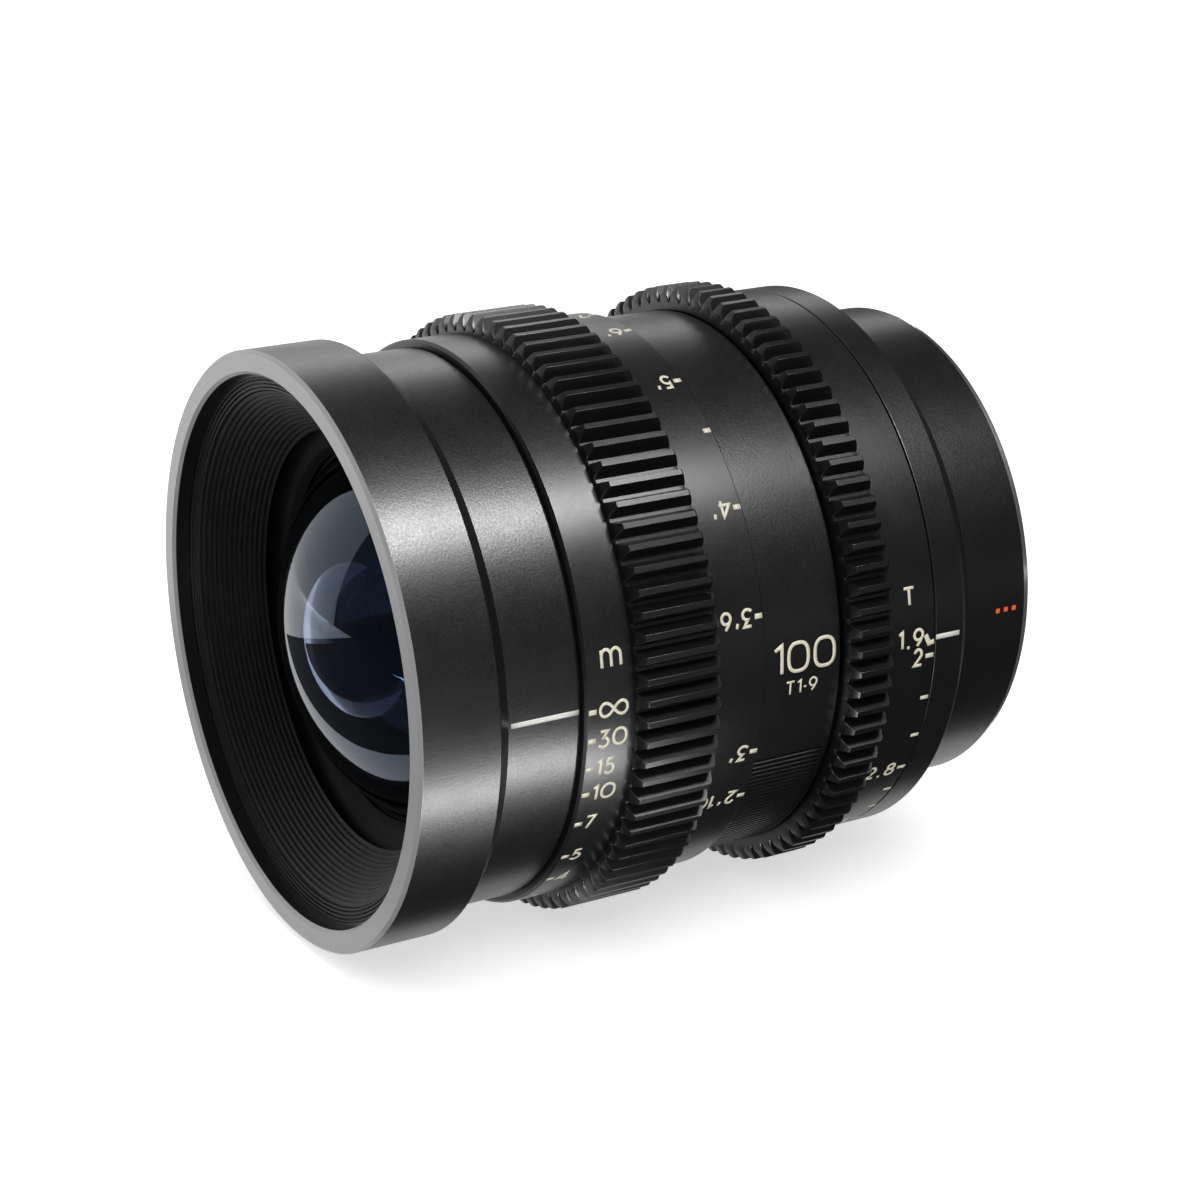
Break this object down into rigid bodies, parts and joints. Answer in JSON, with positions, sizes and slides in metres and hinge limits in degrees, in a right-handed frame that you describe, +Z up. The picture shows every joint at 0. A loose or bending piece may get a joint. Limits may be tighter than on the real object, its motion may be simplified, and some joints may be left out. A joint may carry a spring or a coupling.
{
  "type": "cinema prime lens",
  "caption": "Black metal cinema prime lens with geared focus and iris rings, painted scales, ribbed front baffle, internal focusing, an iris diaphragm and a bright bayonet camera mount.",
  "frame": {"origin": "centre of the camera flange's seating face, on the optical axis", "axes": "+Y runs along the optical axis towards the camera, the front glass faces -Y, +Z is up and +X is the side with the index lines"},
  "size_m": [0.0736, 0.0918, 0.0736],
  "materials": {
    "black_anodised": "fine bead-blasted satin black",
    "matte_black": "matte black anti-reflection paint",
    "coated_glass": "polished, with a green and violet anti-reflection coating",
    "cam_brass": "turned and lapped",
    "pin_steel": "ground",
    "mount_chrome": "bright plated",
    "orange_mark": "filled enamel squares"
  },
  "bodies": {
    "barrel": {"front_ring": "black_anodised", "front_baffle": "matte_black", "witness_barrel": "black_anodised", "front_cell": "matte_black", "front_element": "coated_glass", "front_retainer": "matte_black", "second_element": "coated_glass", "second_retainer": "matte_black", "guide_tube": "cam_brass", "tube_screws": "pin_steel", "focus_stop_pin": "pin_steel", "focus_thrust_washers": "matte_black", "centre_barrel": "black_anodised", "iris_thrust_washer": "matte_black", "rear_tube": "matte_black", "iris_front_plate": "matte_black", "iris_base_plate": "matte_black", "index_ring": "black_anodised", "rear_cell": "matte_black", "rear_doublet": "coated_glass", "rear_doublet_retainer": "matte_black", "rear_element": "coated_glass", "rear_retainer": "matte_black", "mount_barrel": "black_anodised", "mount_index_marks": "orange_mark", "bayonet_mount": "mount_chrome", "mount_screws": "mount_chrome", "rear_light_mask": "matte_black"},
    "focus_ring": {"focus_ring": "black_anodised", "cam_sleeve": "cam_brass", "focus_drive_keys": "pin_steel"},
    "focus_group": {"focus_cell": "matte_black", "focus_front_element": "coated_glass", "focus_front_retainer": "matte_black", "focus_rear_element": "coated_glass", "focus_rear_retainer": "matte_black", "cam_followers": "pin_steel"},
    "iris_ring": {"iris_ring": "black_anodised", "iris_drive_pin": "pin_steel", "iris_cam_plate": "matte_black"},
    "iris_blade_1": {"iris_blade_1": "pin_steel"},
    "iris_blade_2": {"iris_blade_2": "pin_steel"},
    "iris_blade_3": {"iris_blade_3": "pin_steel"},
    "iris_blade_4": {"iris_blade_4": "pin_steel"},
    "iris_blade_5": {"iris_blade_5": "pin_steel"},
    "iris_blade_6": {"iris_blade_6": "pin_steel"},
    "iris_blade_7": {"iris_blade_7": "pin_steel"},
    "iris_blade_8": {"iris_blade_8": "pin_steel"}
  },
  "joints": [
    {"name": "focus_turn", "type": "hinge", "parent": "barrel", "child": "focus_ring", "pos_m": [0, 0, 0], "axis": [0, -1, 0], "range_deg": [0, 210]},
    {"name": "focus_slide", "type": "slide", "parent": "barrel", "child": "focus_group", "axis": [0, -1, 0], "range_m": [0, 0.0084]},
    {"name": "iris_turn", "type": "hinge", "parent": "barrel", "child": "iris_ring", "pos_m": [0, 0, 0], "axis": [0, -1, 0], "range_deg": [0, 118]},
    {"name": "blade_turn_1", "type": "hinge", "parent": "barrel", "child": "iris_blade_1", "pos_m": [0.027, -0.0216, 0], "axis": [0, -1, 0], "range_deg": [0, 32]},
    {"name": "blade_turn_2", "type": "hinge", "parent": "barrel", "child": "iris_blade_2", "pos_m": [0.01909, -0.0216, 0.01909], "axis": [0, -1, 0], "range_deg": [0, 32]},
    {"name": "blade_turn_3", "type": "hinge", "parent": "barrel", "child": "iris_blade_3", "pos_m": [0, -0.0216, 0.027], "axis": [0, -1, 0], "range_deg": [0, 32]},
    {"name": "blade_turn_4", "type": "hinge", "parent": "barrel", "child": "iris_blade_4", "pos_m": [-0.01909, -0.0216, 0.01909], "axis": [0, -1, 0], "range_deg": [0, 32]},
    {"name": "blade_turn_5", "type": "hinge", "parent": "barrel", "child": "iris_blade_5", "pos_m": [-0.027, -0.0216, 0], "axis": [0, -1, 0], "range_deg": [0, 32]},
    {"name": "blade_turn_6", "type": "hinge", "parent": "barrel", "child": "iris_blade_6", "pos_m": [-0.01909, -0.0216, -0.01909], "axis": [0, -1, 0], "range_deg": [0, 32]},
    {"name": "blade_turn_7", "type": "hinge", "parent": "barrel", "child": "iris_blade_7", "pos_m": [0, -0.0216, -0.027], "axis": [0, -1, 0], "range_deg": [0, 32]},
    {"name": "blade_turn_8", "type": "hinge", "parent": "barrel", "child": "iris_blade_8", "pos_m": [0.01909, -0.0216, -0.01909], "axis": [0, -1, 0], "range_deg": [0, 32]}
  ],
  "couplings": [
    {"joint": "focus_slide", "follows": "focus_turn", "m_per_rad": 0.0022918},
    {"joint": "blade_turn_1", "follows": "iris_turn", "ratio": 0.27119},
    {"joint": "blade_turn_2", "follows": "iris_turn", "ratio": 0.27119},
    {"joint": "blade_turn_3", "follows": "iris_turn", "ratio": 0.27119},
    {"joint": "blade_turn_4", "follows": "iris_turn", "ratio": 0.27119},
    {"joint": "blade_turn_5", "follows": "iris_turn", "ratio": 0.27119},
    {"joint": "blade_turn_6", "follows": "iris_turn", "ratio": 0.27119},
    {"joint": "blade_turn_7", "follows": "iris_turn", "ratio": 0.27119},
    {"joint": "blade_turn_8", "follows": "iris_turn", "ratio": 0.27119}
  ]
}
